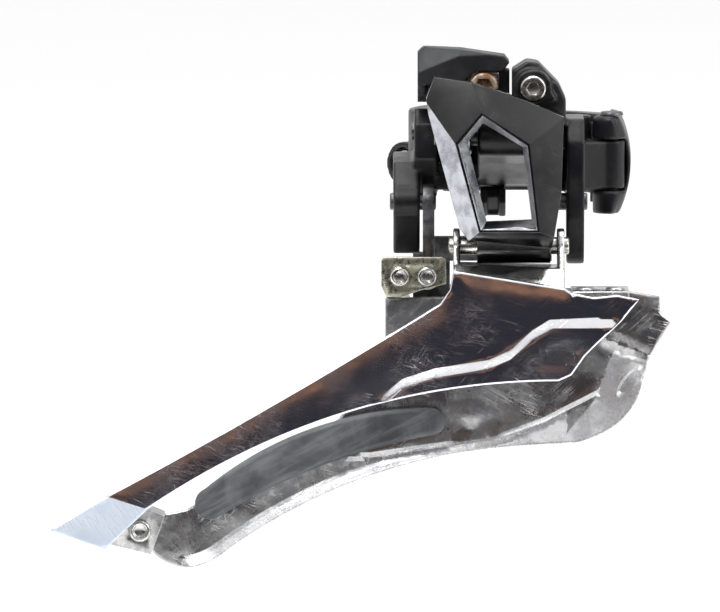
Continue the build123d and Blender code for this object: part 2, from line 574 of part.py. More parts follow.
with BuildPart() as inner_plate:
    with BuildSketch(outboard(INNER_PLATE_Y, (0, 0))):
        with BuildLine():
            Polyline((14.5, -20.3), (-12.2, -19.4), (-12.2, -21.4), (-23.4, -21.8), (-23.4, -29.4),
                     (-27.0, -36.5), (-31.5, -42.8), (-36.0, -45.4), (-44.0, -49.2), (-49.0, -51.6),
                     (-53.2, -54.9), (-55.7, -57.2), (-57.7, -58.5), (-61.3, -59.2), (-65.4, -57.8),
                     (-70.6, -63.2), (-69.6, -64.4), (-63.8, -65.8))
            ThreePointArc((-63.8, -65.8), (-57.4, -68.5), (-50.2, -65.1))
            ThreePointArc((-50.2, -65.1), (-27.0, -52.9), (-1.9, -47.5))
            Polyline((-1.9, -47.5), (10.0, -46.8))
            ThreePointArc((10.0, -46.8), (17.4, -43.0), (20.9, -37.1))
            Polyline((20.9, -37.1), (22.4, -31.7), (25.9, -26.0), (24.1, -24.1), (24.0, -21.5),
                     (18.6, -20.6), (14.5, -20.3))
        make_face()
    extrude(amount=INNER_PLATE_T)
    # Lower flange that turns outboard along the edge.
    with BuildSketch(outboard(INNER_PLATE_Y, (0, 0))):
        with BuildLine():
            ThreePointArc((-50.2, -65.1), (-27.0, -52.9), (-1.9, -47.5))
            Polyline((-1.9, -47.5), (10.0, -46.8))
            ThreePointArc((10.0, -46.8), (17.4, -43.0), (20.9, -37.1))
            Polyline((20.9, -37.1), (19.7, -37.5))
            ThreePointArc((19.7, -37.5), (16.6, -42.0), (9.8, -45.5))
            Polyline((9.8, -45.5), (-1.9, -46.2))
            ThreePointArc((-1.9, -46.2), (-26.6, -51.6), (-49.6, -63.9))
            Polyline((-49.6, -63.9), (-50.2, -65.1))
        make_face()
    extrude(amount=INNER_PLATE_T + 1.3)
    # Nose flange that reaches over the outer plate's flange.
    with BuildSketch(along_x(NOSE_X[0], (0, 0))):
        with BuildLine():
            Polyline((-34.2, -22.0), (-34.2, FLANGE_Z), (-44.2, FLANGE_Z), (-44.2, FLANGE_Z + FLANGE_T),
                     (-32.8, FLANGE_Z + FLANGE_T), (-32.8, -22.0), close=True)
        make_face()
    extrude(amount=NOSE_X[1] - NOSE_X[0])
    # Tab ears that hold the inner link's lower pin.
    for x, thickness in TAB_EAR_X:
        with BuildSketch(along_x(x, (0, 0))):
            with BuildLine():
                Polyline((-33.2, -21.9), (-27.0, -21.9), (-27.0, -26.9), (-33.2, -28.6), close=True)
            make_face()
            with Locations(INNER_LOW):
                Circle(2.6)
        extrude(amount=thickness)
    # Step that runs along the plate, and the crescent at the nose.
    with BuildSketch(outboard(INNER_PLATE_Y + INNER_PLATE_T, (0, 0))):
        with BuildLine():
            Polyline((-12.0, -43.6), (6.0, -40.6), (12.0, -36.6), (16.0, -31.0), (17.2, -31.8),
                     (13.2, -38.0), (6.6, -42.2), (-12.0, -45.2), close=True)
        make_face()
    extrude(amount=0.5)
    with BuildSketch(along_x(TAB_EAR_X[0][0] - 1, INNER_LOW)):
        Circle(PIN_R)
    extrude(amount=14, mode=Mode.SUBTRACT)
    with BuildSketch(Plane.XY.offset(FLANGE_Z - 2)):
        with Locations(*NOSE_RIVETS):
            Circle(NOSE_RIVET_R)
    extrude(amount=4, mode=Mode.SUBTRACT)
    with BuildSketch(outboard(INNER_PLATE_Y - 1, TAIL_RIVET)):
        Circle(TAIL_RIVET_R)
    extrude(amount=4, mode=Mode.SUBTRACT)
save(inner_plate, "inner_plate")

with BuildPart() as nose_rivets:
    with BuildSketch(Plane.XY.offset(FLANGE_Z - FLANGE_T)):
        with Locations(*NOSE_RIVETS):
            Circle(NOSE_RIVET_R)
    extrude(amount=2 * FLANGE_T)
    with BuildSketch(Plane.XY.offset(FLANGE_Z + FLANGE_T)):
        with Locations(*NOSE_RIVETS):
            Circle(1.8)
    extrude(amount=0.5, taper=25)
save(nose_rivets, "nose_rivets")

with BuildPart() as skid_pad:
    with BuildSketch(outboard(INNER_PLATE_Y + INNER_PLATE_T, (0, 0))):
        with BuildLine():
            ThreePointArc((-54.6, -54.8), (-35.6, -44.1), (-15.4, -40.8))
            ThreePointArc((-15.4, -40.8), (-13.0, -43.2), (-14.8, -45.4))
            ThreePointArc((-14.8, -45.4), (-34.0, -50.6), (-52.8, -60.0))
            ThreePointArc((-52.8, -60.0), (-56.2, -58.2), (-54.6, -54.8))
        make_face()
    extrude(amount=2.0)
    fillet(edges().group_by(Axis.Y)[0], 0.8)
save(skid_pad, "skid_pad")

TAIL_FACE_Y = 42.5

with BuildPart() as tail_spacer:
    with BuildSketch(outboard(INNER_PLATE_Y + INNER_PLATE_T, (0, 0))):
        with BuildLine():
            Polyline((-71.2, -63.6), (-63.8, -65.4), (-61.4, -58.7), (-64.6, -57.4), close=True)
        make_face()
    extrude(amount=TAIL_FACE_Y - INNER_PLATE_Y - INNER_PLATE_T)
    with BuildSketch(outboard(INNER_PLATE_Y + INNER_PLATE_T - 1, (0, 0))):
        with BuildLine():
            Polyline((-69.0, -63.0), (-64.6, -64.2), (-62.8, -59.2), (-64.8, -58.8), close=True)
        make_face()
    extrude(amount=TAIL_FACE_Y - INNER_PLATE_Y - INNER_PLATE_T, mode=Mode.SUBTRACT)
    # Strip that reaches the outer plate.
    with BuildSketch(outboard(INNER_PLATE_Y + INNER_PLATE_T, (0, 0))):
        with BuildLine():
            Polyline((-71.2, -63.6), (-72.4, -62.2), (-65.8, -56.2), (-64.6, -57.4), close=True)
        make_face()
    extrude(amount=OUTER_PLATE_Y - INNER_PLATE_Y - INNER_PLATE_T)
    with BuildSketch(outboard(30, TAIL_RIVET)):
        Circle(TAIL_RIVET_R)
    extrude(amount=20, mode=Mode.SUBTRACT)
save(tail_spacer, "tail_spacer")

with BuildPart() as tail_rivet:
    with BuildSketch(outboard(INNER_PLATE_Y, TAIL_RIVET)):
        Circle(TAIL_RIVET_R)
    extrude(amount=TAIL_FACE_Y - INNER_PLATE_Y)
    with BuildSketch(outboard(TAIL_FACE_Y, TAIL_RIVET)):
        Circle(2.0)
    extrude(amount=0.9, taper=15)
    with BuildSketch(outboard(TAIL_FACE_Y + 0.5, TAIL_RIVET)):
        Circle(1.1)
    extrude(amount=1, mode=Mode.SUBTRACT)
save(tail_rivet, "tail_rivet")

# ---------------------------------------------------------------- limit screws
BRACKET_Y = 36.0
BRACKET_T = 1.4

with BuildPart() as limit_screw_bracket:
    with BuildSketch(outboard(BRACKET_Y, (0, 0))):
        with BuildLine():
            Polyline((-24.1, -19.4), (-24.1, -14.4), (-12.9, -14.4), (-12.9, -19.0), (-17.0, -20.0),
                     (-20.6, -21.3), (-23.2, -21.3), close=True)
        make_face()
    extrude(amount=BRACKET_T)
    fillet(edges().filter_by(Axis.Y).group_by(Axis.Z)[-1], 0.9)
    with BuildSketch(outboard(BRACKET_Y - 2.4, (0, 0))):
        with Locations(LOW_SCREW, HIGH_SCREW):
            Circle(LIMIT_SCREW_R + 0.7)
    extrude(amount=2.4)
    # Foot that passes over the tab and is riveted behind it.
    with BuildSketch(along_x(-23.2, (0, 0))):
        with BuildLine():
            Polyline((-36.4, -21.3), (-36.4, -20.3), (-31.6, -20.3), (-31.6, -28.0), (-32.8, -28.0),
                     (-32.8, -21.3), close=True)
        make_face()
    extrude(amount=2.6)
    with BuildSketch(outboard(30, (0, 0))):
        with Locations(LOW_SCREW, HIGH_SCREW):
            Circle(LIMIT_SCREW_R)
    extrude(amount=10, mode=Mode.SUBTRACT)
    with BuildSketch(outboard(30, BRACKET_RIVET)):
        Circle(BRACKET_RIVET_R)
    extrude(amount=3, mode=Mode.SUBTRACT)
save(limit_screw_bracket, "limit_screw_bracket")

with BuildPart() as bracket_rivet:
    with BuildSketch(outboard(INNER_PLATE_Y - 1.2, BRACKET_RIVET)):
        Circle(BRACKET_RIVET_R)
    extrude(amount=1.2)
    with BuildSketch(outboard(INNER_PLATE_Y - 1.9, BRACKET_RIVET)):
        Circle(1.5)
    extrude(amount=0.7)
save(bracket_rivet, "bracket_rivet")


def socket_screw(at, radius, tip, head):
    """Plain-shanked set screw along Y with a hex socket, as a private solid."""
    with BuildPart(mode=Mode.PRIVATE) as screw:
        with BuildSketch(outboard(tip, at)):
            Circle(radius)
        extrude(amount=head - tip)
        chamfer(edges().filter_by(GeomType.CIRCLE).group_by(Axis.Y)[0], 0.25)
        chamfer(edges().filter_by(GeomType.CIRCLE).group_by(Axis.Y)[-1], 0.5)
        with BuildSketch(outboard(head - 1.6, at)):
            RegularPolygon(SOCKET_AF / 2, 6, major_radius=False)
        extrude(amount=3, mode=Mode.SUBTRACT)
    return screw


low_limit_screw = socket_screw(LOW_SCREW, LIMIT_SCREW_R - FIT, 30.6, 38.4)
save(low_limit_screw, "low_limit_screw")
high_limit_screw = socket_screw(HIGH_SCREW, LIMIT_SCREW_R - FIT, 31.0, 38.2)
save(high_limit_screw, "high_limit_screw")
cable_adjust_bolt = socket_screw(ADJUST_AT, ADJUST_R, 25.0, 36.5)
save(cable_adjust_bolt, "cable_adjust_bolt")

# ---------------------------------------------------------------- cable anchor
with BuildPart() as cable_anchor_bolt:
    with BuildSketch(outboard(24.8, ANCHOR_AT)):
        Circle(ANCHOR_R)
    extrude(amount=5.0)
    with BuildSketch(outboard(29.8, ANCHOR_AT)):
        Circle(2.5)
    extrude(amount=2.4)
    fillet(edges().group_by(Axis.Y)[0], 0.4)
    with BuildSketch(outboard(30.8, ANCHOR_AT)):
        RegularPolygon(1.5, 6, major_radius=False)
    extrude(amount=3, mode=Mode.SUBTRACT)
save(cable_anchor_bolt, "cable_anchor_bolt")

with BuildPart() as cable_washer:
    with BuildSketch(outboard(28.5, ANCHOR_AT)):
        RectangleRounded(5.4, 5.4, 0.8)
        Circle(ANCHOR_R + FIT, mode=Mode.SUBTRACT)
    extrude(amount=1.3)
    # Groove that grips the cable.
    with BuildSketch(along_x(ANCHOR_AT[0] - 3, (-28.5, ANCHOR_AT[1] - 2.25))):
        Circle(0.55)
    extrude(amount=6, mode=Mode.SUBTRACT)
save(cable_washer, "cable_washer")

with BuildPart() as cable_guide:
    # Grooved guide that leads the cable up to the arm.
    with BuildSketch(along_x(-6.9, (0, 0))):
        with BuildLine():
            Polyline((-17.8, -3.6), (-24.0, -3.6), (-24.0, -6.0), (-21.4, -8.6), (-17.8, -8.6),
                     close=True)
        make_face()
    extrude(amount=4.4)
    with BuildSketch(along_x(-5.7, (0, 0))):
        with BuildLine():
            Polyline((-16, -9), (-19.4, -9), (-19.4, -7.6), (-22.6, -5.2), (-22.6, -3.6), (-26, -3.6),
                     (-26, -10), (-16, -10), close=True)
        make_face()
    extrude(amount=2.0, mode=Mode.SUBTRACT)
save(cable_guide, "cable_guide")

# ---------------------------------------------------------------- pins, bushes, clips, spring
PIN_LENGTHS = {
    "outer_upper_pin": (-15.0, 6.8, OUTER_UP, PIN_R),
    "outer_lower_pin": (-12.5, 8.3, OUTER_LOW, PIN_R),
    "inner_rear_pin": (-22.6, -14.6, INNER_UP, PIN_R),
    "inner_front_pin": (3.0, 11.6, INNER_UP, PIN_R),
    "inner_lower_pin": (-21.2, -9.6, INNER_LOW, PIN_R),
    "cable_arm_pin": (-18.9, -5.0, ARM_UP, PIN_R),
    "toggle_outer_pin": (-14.0, -8.0, OUTER_TOGGLE, TOGGLE_PIN_R),
    "toggle_arm_pin": (-14.2, -8.0, ARM_TOGGLE, TOGGLE_PIN_R),
}

for label, (start, end, pivot, radius) in PIN_LENGTHS.items():
    with BuildPart() as pin:
        with BuildSketch(along_x(start, pivot)):
            Circle(radius)
        extrude(amount=end - start)
        chamfer(edges().filter_by(GeomType.CIRCLE), 0.2)
    save(pin, label)

with BuildPart() as link_bush:
    with BuildSketch(along_x(BASE_LUG_X[0], OUTER_UP)):
        Circle(PIN_R + 0.8)
        Circle(PIN_R + FIT, mode=Mode.SUBTRACT)
    extrude(amount=BASE_LUG_X[1] - BASE_LUG_X[0])
save(link_bush, "link_bush")

with BuildPart() as return_spring:
    with BuildLine():
        spring_path = Helix(pitch=1.15, height=3.4, radius=2.6, center=(-11.8, OUTER_UP[0], OUTER_UP[1]),
                            direction=(1, 0, 0))
    with BuildSketch(Plane(origin=spring_path @ 0, z_dir=spring_path % 0)):
        Circle(0.5)
    sweep()
save(return_spring, "return_spring")
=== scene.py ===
"""Looks of a band-on front derailleur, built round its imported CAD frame.

Metres throughout, in the CAD frame: +Z up the seat tube, +X forward, -Y outboard.
"""
import json
import math

import bmesh
import bpy
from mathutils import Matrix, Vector, noise
from mathutils.geometry import delaunay_2d_cdt


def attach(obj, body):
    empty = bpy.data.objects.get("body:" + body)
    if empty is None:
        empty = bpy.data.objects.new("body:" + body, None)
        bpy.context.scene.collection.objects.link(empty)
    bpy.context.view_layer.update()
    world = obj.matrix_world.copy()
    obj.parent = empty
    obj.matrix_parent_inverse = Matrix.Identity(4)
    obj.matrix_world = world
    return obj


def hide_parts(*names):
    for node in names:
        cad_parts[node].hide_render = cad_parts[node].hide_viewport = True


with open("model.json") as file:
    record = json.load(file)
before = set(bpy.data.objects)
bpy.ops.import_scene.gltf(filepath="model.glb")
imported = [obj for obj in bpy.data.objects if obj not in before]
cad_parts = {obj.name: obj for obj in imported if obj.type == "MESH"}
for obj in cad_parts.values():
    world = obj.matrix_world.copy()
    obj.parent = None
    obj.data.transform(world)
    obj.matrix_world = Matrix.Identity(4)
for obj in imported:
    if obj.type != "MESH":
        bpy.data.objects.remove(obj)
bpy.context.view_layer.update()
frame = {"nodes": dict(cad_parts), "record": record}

MM = 0.001
NODES = frame["nodes"]
BODIES = frame["record"]["behaviour"]["bodies"]
BODY_OF = {node: body for body, members in BODIES.items() for node in members}
SLOT_OF = {row["node"]: row["material_slot"] for row in frame["record"]["subparts"]}

# Each set of scratches: turn in radians, scale per metre across and along, a number that varies its pattern.
SCRATCH_SETS = ((0.52, 7200, 70, 0.0), (-0.75, 8400, 95, 3.1), (1.35, 7800, 120, 7.7),
                (0.25, 9600, 150, 5.3))
# Each set of hairlines: turn in radians, distortion of its pattern.
HAIRLINE_SETS = ((0.62, 0.3), (-1.05, 0.0), (0.15, 0.7))
RUST = (0.24, 0.095, 0.04)

# ---------------------------------------------------------------- node helpers
class Nodes:
    """A small wrapper that adds and links shader nodes."""

    def __init__(self, name):
        self.material = bpy.data.materials.new(name)
        self.material.use_nodes = True
        self.tree = self.material.node_tree
        self.tree.nodes.clear()
        self.shader = self.add("ShaderNodeBsdfPrincipled")
        output = self.add("ShaderNodeOutputMaterial")
        self.link(self.shader.outputs[0], output.inputs[0])
        self.place = self.add("ShaderNodeTexCoord").outputs["Object"]

    def add(self, kind, **values):
        node = self.tree.nodes.new(kind)
        for key, value in values.items():
            setattr(node, key, value)
        return node

    def link(self, source, target):
        self.tree.links.new(source, target)

    def feed(self, socket, value):
        """Link an output to a socket, or set the socket to a constant."""
        if isinstance(value, bpy.types.NodeSocket):
            self.link(value, socket)
        else:
            socket.default_value = value

    def surface(self, label, value):
        """Feed one of the surface shader's own inputs."""
        self.feed(self.shader.inputs[label], value)

    def mapped(self, scale, turn=(0, 0, 0)):
        """Object coordinates, turned and scaled."""
        node = self.add("ShaderNodeMapping", vector_type="TEXTURE")
        node.inputs["Rotation"].default_value = turn
        node.inputs["Scale"].default_value = [1 / s for s in scale]
        self.link(self.place, node.inputs["Vector"])
        return node.outputs[0]

    def noise(self, per_metre, detail=3.0, rough=0.55, vector=None, distort=0.0):
        node = self.add("ShaderNodeTexNoise")
        self.link(vector or self.place, node.inputs["Vector"])
        node.inputs["Scale"].default_value = per_metre
        node.inputs["Detail"].default_value = detail
        node.inputs["Roughness"].default_value = rough
        node.inputs["Distortion"].default_value = distort
        return node.outputs["Fac"]

    def remap(self, value, low, high, new_low=0.0, new_high=1.0):
        node = self.add("ShaderNodeMapRange", interpolation_type="SMOOTHSTEP")
        self.feed(node.inputs["Value"], value)
        ends = {"From Min": low, "From Max": high, "To Min": new_low, "To Max": new_high}
        for key, number in ends.items():
            node.inputs[key].default_value = number
        return node.outputs[0]

    def math(self, operation, a, b=0.0):
        node = self.add("ShaderNodeMath", operation=operation)
        self.feed(node.inputs[0], a)
        self.feed(node.inputs[1], b)
        return node.outputs[0]

    def mix(self, factor, a, b):
        node = self.add("ShaderNodeMix", data_type="RGBA")
        self.feed(node.inputs["Factor"], factor)
        self.feed(node.inputs["A"], a if isinstance(a, bpy.types.NodeSocket) else (*a, 1.0))
        self.feed(node.inputs["B"], b if isinstance(b, bpy.types.NodeSocket) else (*b, 1.0))
        return node.outputs["Result"]

    def rounded(self, radius):
        """Normal of the surface with its edges rounded off."""
        node = self.add("ShaderNodeBevel", samples=6)
        node.inputs["Radius"].default_value = radius
        return node.outputs[0]

    def edges(self, radius):
        """1 on sharp edges, 0 on open surface."""
        dot = self.add("ShaderNodeVectorMath", operation="DOT_PRODUCT")
        self.link(self.rounded(radius), dot.inputs[0])
        self.link(self.add("ShaderNodeNewGeometry").outputs["Normal"], dot.inputs[1])
        return self.remap(dot.outputs["Value"], 0.985, 0.86)

    def bump(self, height, distance, strength=1.0, normal=None):
        node = self.add("ShaderNodeBump")
        node.inputs["Strength"].default_value = strength
        node.inputs["Distance"].default_value = distance
        self.link(height, node.inputs["Height"])
        if normal is not None:
            self.link(normal, node.inputs["Normal"])
        return node.outputs[0]

    def scratches(self, amount):
        """Fine scratches in several directions: 1 in a scratch, 0 outside."""
        total = None
        for turn, across, along, variety in SCRATCH_SETS:
            vector = self.mapped((along, 400, across), (0, turn, 0))
            fine = self.noise(1.0, 2.0, 0.5, vector, variety * 0.01)
            patch = self.noise(90 + 30 * variety, 3.0)
            line = self.remap(fine, 0.60, 0.72)
            line = self.math("MULTIPLY", line, self.remap(patch, 0.60 - amount, 0.80 - amount))
            total = line if total is None else self.math("MAXIMUM", total, line)
        return total

    def hairlines(self):
        """Dense, very fine short lines in three directions, strongest in patches."""
        total = None
        for turn, distort in HAIRLINE_SETS:
            vector = self.mapped((420, 600, 5600), (0, turn, 0))
            line = self.remap(self.noise(1.0, 2.0, 0.6, vector, distort), 0.57, 0.68)
            total = line if total is None else self.math("MAXIMUM", total, line)
        return self.math("MULTIPLY", total, self.remap(self.noise(85, 3.0), 0.38, 0.66))


# ---------------------------------------------------------------- materials
def polished_chrome():
    """Mirror plate with hairline scratches and dull worn patches."""
    m = Nodes("polished_chrome")
    haze = m.noise(95, 4.0)
    scratch = m.math("MULTIPLY", m.scratches(0.14), 0.55)
    scratch = m.math("MAXIMUM", scratch, m.math("MULTIPLY", m.hairlines(), 0.5))
    tint = m.mix(m.remap(haze, 0.35, 0.7), (0.86, 0.86, 0.88), (0.70, 0.70, 0.74))
    m.surface("Base Color", m.mix(m.math("MULTIPLY", scratch, 0.5), tint, (0.95, 0.95, 0.97)))
    m.surface("Metallic", 1.0)
    roughness = m.math("ADD", m.remap(haze, 0.3, 0.75, 0.05, 0.2), m.math("MULTIPLY", scratch, 0.22))
    m.surface("Roughness", roughness)
    wave = m.bump(m.noise(60, 3.0), 0.0004, 0.5, m.rounded(0.0002))
    m.surface("Normal", m.bump(scratch, 0.00002, 0.4, wave))
    return m.material


def chrome_with_painted_reflection():
    """Brushed tail facet, painted pale and bluish with little metal: a painted reflection of the light the
    tilted facet faces.
    """
    m = Nodes("chrome_with_painted_reflection")
    grain = m.noise(1.0, 3.0, 0.6, m.mapped((260, 900, 4200), (0, 0.95, 0)))
    cloud = m.noise(140, 4.0)
    # Pale bluish tone: painted reflection.
    tone = m.mix(m.remap(cloud, 0.3, 0.7), (0.60, 0.66, 0.75), (0.46, 0.52, 0.61))
    m.surface("Base Color", tone)
    m.surface("Metallic", 0.35)
    m.surface("Roughness", m.remap(m.math("ADD", grain, cloud), 0.6, 1.4, 0.24, 0.42))
    m.surface("Normal", m.bump(grain, 0.00003, 0.5, m.rounded(0.0002)))
    return m.material


def worn_nickel():
    """Dull nickel steel: cloudy, scuffed, brown grime and spots of rust."""
    m = Nodes("worn_nickel")
    cloud = m.noise(130, 6.0, 0.62, distort=0.4)
    fine = m.noise(900, 4.0, 0.6)
    scratch = m.scratches(0.14)
    tone = m.mix(m.remap(cloud, 0.3, 0.72), (0.43, 0.43, 0.43), (0.22, 0.225, 0.235))
    tone = m.mix(m.math("MULTIPLY", m.remap(fine, 0.5, 0.68), 0.45), tone, (0.62, 0.62, 0.6))
    grime = m.remap(m.noise(210, 5.0, 0.7), 0.58, 0.7)
    tone = m.mix(m.math("MULTIPLY", grime, 0.4), tone, (0.33, 0.29, 0.23))
    rust = m.remap(m.noise(260, 5.0, 0.7), 0.69, 0.73)
    rust = m.math("MULTIPLY", rust, m.remap(m.noise(1500, 2.0), 0.38, 0.55))
    tone = m.mix(m.math("MULTIPLY", rust, 0.8), tone, (0.27, 0.10, 0.045))
    tone = m.mix(m.math("MULTIPLY", m.edges(0.0003), 0.6), tone, (0.85, 0.86, 0.88))
    m.surface("Base Color", m.mix(m.math("MULTIPLY", scratch, 0.4), tone, (0.8, 0.8, 0.8)))
    m.surface("Metallic", m.math("SUBTRACT", 1.0, m.math("MULTIPLY", rust, 0.9)))
    roughness = m.remap(cloud, 0.3, 0.7, 0.2, 0.42)
    m.surface("Roughness", m.math("ADD", roughness, m.math("MULTIPLY", rust, 0.4)))
    dents = m.bump(cloud, 0.00016, 0.35, m.rounded(0.00025))
    m.surface("Normal", m.bump(m.math("ADD", fine, scratch), 0.00003, 0.5, dents))
    return m.material


def steel(name, light, dark, rough, rust=0.0, edge=(0.8, 0.8, 0.78), metal=1.0):
    """Plated or bare steel with handling marks; rust is its share of rust, metal how metallic it is."""
    m = Nodes(name)
    cloud = m.noise(330, 5.0, 0.6)
    fine = m.noise(2100, 3.0)
    tone = m.mix(m.remap(cloud, 0.36, 0.66), light, dark)
    spots = m.remap(m.noise(620, 6.0, 0.7), 0.68 - rust, 0.76 - rust)
    tone = m.mix(m.math("MULTIPLY", spots, min(1.0, 0.15 + rust * 3)), tone, RUST)
    m.surface("Base Color", m.mix(m.math("MULTIPLY", m.edges(0.0002), 0.5), tone, edge))
    dulled = m.math("MULTIPLY", spots, min(0.9, rust * 3) * metal)
    m.surface("Metallic", m.math("SUBTRACT", metal, dulled))
    grain = m.math("ADD", cloud, fine)
    m.surface("Roughness", m.remap(grain, 0.7, 1.3, rough * 0.7, rough * 1.35))
    m.surface("Normal", m.bump(grain, 0.00006, 0.35, m.rounded(0.0002)))
    return m.material


def black_coat(name, colour, rough, grain, wear=0.4, coat=0.0):
    """Black coated metal or plastic with scuffs, dust and worn edges."""
    m = Nodes(name)
    cloud = m.noise(120, 5.0, 0.6)
    fine = m.noise(grain, 3.0, 0.6)
    scratch = m.scratches(0.05)
    dust = m.remap(m.noise(240, 6.0, 0.7), 0.5, 0.8)
    tone = m.mix(m.remap(cloud, 0.3, 0.7), colour, tuple(c * 1.7 for c in colour))
    tone = m.mix(m.math("MULTIPLY", dust, 0.08), tone, (0.2, 0.19, 0.17))
    tone = m.mix(m.math("MULTIPLY", scratch, 0.12), tone, (0.3, 0.3, 0.31))
    worn = m.math("MULTIPLY", m.edges(0.00022), m.remap(m.noise(420, 4.0), 0.42, 0.6, 0.15, 1.0))
    m.surface("Base Color", m.mix(m.math("MULTIPLY", worn, wear), tone, (0.42, 0.42, 0.44)))
    roughness = m.remap(cloud, 0.3, 0.7, rough * 0.8, rough * 1.25)
    m.surface("Roughness", m.math("ADD", roughness, m.math("MULTIPLY", dust, 0.08)))
    m.surface("Specular IOR Level", 0.32)
    m.surface("Coat Weight", coat)
    m.surface("Coat Roughness", 0.12)
    height = m.math("ADD", fine, scratch)
    m.surface("Normal", m.bump(height, 0.00003, 0.4, m.rounded(0.00035)))
    return m.material


def grey_resin():
    """Scuffed dark resin of the rubbing pad."""
    m = Nodes("grey_resin")
    cloud = m.noise(110, 6.0, 0.62, distort=0.6)
    smear = m.noise(1.0, 4.0, 0.6, m.mapped((60, 300, 700), (0, -0.5, 0)))
    gouge = m.remap(m.noise(1.0, 3.0, 0.7, m.mapped((90, 500, 1300), (0, -0.5, 0))), 0.68, 0.73)
    tone = m.mix(m.remap(cloud, 0.32, 0.68), (0.03, 0.033, 0.037), (0.10, 0.105, 0.112))
    tone = m.mix(m.math("MULTIPLY", m.remap(smear, 0.45, 0.75), 0.45), tone, (0.2, 0.205, 0.21))
    tone = m.mix(m.math("MULTIPLY", gouge, 0.7), tone, (0.012, 0.012, 0.013))
    m.surface("Base Color", tone)
    m.surface("Roughness", m.remap(smear, 0.3, 0.75, 0.38, 0.62))
    height = m.math("SUBTRACT", m.math("MULTIPLY", cloud, 0.6), gouge)
    m.surface("Normal", m.bump(height, 0.00012, 0.5, m.rounded(0.0003)))
    return m.material


PALE_EDGE = (0.95, 0.95, 0.97)
MATERIALS = {
    "chrome_plate": polished_chrome(),
    "tail_facet": chrome_with_painted_reflection(),
    "nickel_plate": worn_nickel(),
    "grey_resin": grey_resin(),
    "satin_black": black_coat("satin_black", (0.005, 0.005, 0.006), 0.36, 2600, 0.3),
    "matt_black": black_coat("matt_black", (0.011, 0.0115, 0.013), 0.46, 3200, 0.15),
    "gloss_black": black_coat("gloss_black", (0.003, 0.003, 0.0035), 0.13, 1800, 0.75, 0.4),
    "facet_black": black_coat("facet_black", (0.009, 0.009, 0.01), 0.42, 2600, 0.5),
    # Steel looks that the outer link's black faces take by the way they face: a painted highlight on
    # rear-facing faces and round the window's rim, and painted sheen on the window's two walls.
    "bright_facet": steel("bright_facet", (0.40, 0.41, 0.44), (0.20, 0.205, 0.23), 0.22,
                          edge=PALE_EDGE, metal=0.9),
    "smoke_facet": steel("smoke_facet", (0.42, 0.43, 0.46), (0.10, 0.105, 0.12), 0.22,
                         edge=PALE_EDGE, metal=0.45),
    "grey_facet": steel("grey_facet", (0.24, 0.24, 0.25), (0.14, 0.14, 0.15), 0.36,
                        edge=PALE_EDGE, metal=0.35),
    "bridge_satin": steel("bridge_satin", (0.72, 0.72, 0.71), (0.45, 0.44, 0.42), 0.2, 0.03,
                          edge=(0.95, 0.95, 0.95)),
    "worn_mirror": steel("worn_mirror", (0.72, 0.72, 0.73), (0.50, 0.50, 0.51), 0.24,
                         edge=(0.95, 0.95, 0.96), metal=0.6),
    "dark_steel": steel("dark_steel", (0.16, 0.16, 0.165), (0.06, 0.06, 0.063), 0.4,
                        edge=(0.5, 0.5, 0.5)),
    "zinc_steel": steel("zinc_steel", (0.62, 0.62, 0.60), (0.40, 0.40, 0.37), 0.24, 0.02),
    "yellow_zinc": steel("yellow_zinc", (0.52, 0.52, 0.42), (0.33, 0.33, 0.25), 0.3, 0.01),
    "rusty_steel": steel("rusty_steel", (0.50, 0.40, 0.30), (0.20, 0.10, 0.055), 0.65, 0.18),
    "brass_bush": steel("brass", (0.52, 0.39, 0.17), (0.36, 0.25, 0.1), 0.34, edge=(0.7, 0.58, 0.3)),
    "spring_steel": steel("spring_steel", (0.30, 0.30, 0.31), (0.16, 0.16, 0.17), 0.3),
}


# ---------------------------------------------------------------- mesh helpers
RIM_ROWS = (0.15, 0.4, 1.0)    # rows of points round a plate's rim, as shares of its rounding


def smooth(mesh, angle):
    """Smooth shading that breaks at edges sharper than angle."""
    for polygon in mesh.polygons:
        polygon.use_smooth = True
    mesh.set_sharp_from_angle(angle=angle)


def settle(piece, node, material=None):
    """Let a finished piece stand for its CAD node, ride its body and take its slot."""
    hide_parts(node)
    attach(piece, BODY_OF[node])
    if material is not None:
        piece.data.materials.clear()
        piece.data.materials.append(material)
    return piece


def applied(piece):
    """Turn a piece's modifiers into its mesh."""
    graph = bpy.context.evaluated_depsgraph_get()
    mesh = bpy.data.meshes.new_from_object(piece.evaluated_get(graph))
    piece.modifiers.clear()
    piece.data = mesh
    return piece


def built(bm, name):
    """An object in the scene out of a finished bmesh."""
    mesh = bpy.data.meshes.new(name)
    bm.to_mesh(mesh)
    bm.free()
    piece = bpy.data.objects.new(name, mesh)
    bpy.context.scene.collection.objects.link(piece)
    return piece


def bevelled(piece, width, segments, angle):
    """A piece with the edges sharper than angle rounded by a width in mm."""
    modifier = piece.modifiers.new("edges", "BEVEL")
    modifier.width = width * MM
    modifier.segments = segments
    modifier.limit_method = "ANGLE"
    modifier.angle_limit = angle
    return applied(piece)


def copied(node, name):
    """A welded copy of a CAD node's mesh, with flat areas joined."""
    bm = bmesh.new()
    bm.from_mesh(NODES[node].data)
    bmesh.ops.remove_doubles(bm, verts=bm.verts, dist=1e-6)
    bmesh.ops.dissolve_limit(bm, angle_limit=0.01, verts=bm.verts, edges=bm.edges, delimit={"NORMAL"})
    return built(bm, name)


def refined(node, radius):
    """A CAD node with its sharp edges rounded by a small radius in mm."""
    piece = bevelled(copied(node, node + "_finished"), radius, 2, 0.5)
    smooth(piece.data, 0.7)
    return settle(piece, node, MATERIALS[SLOT_OF[node]])


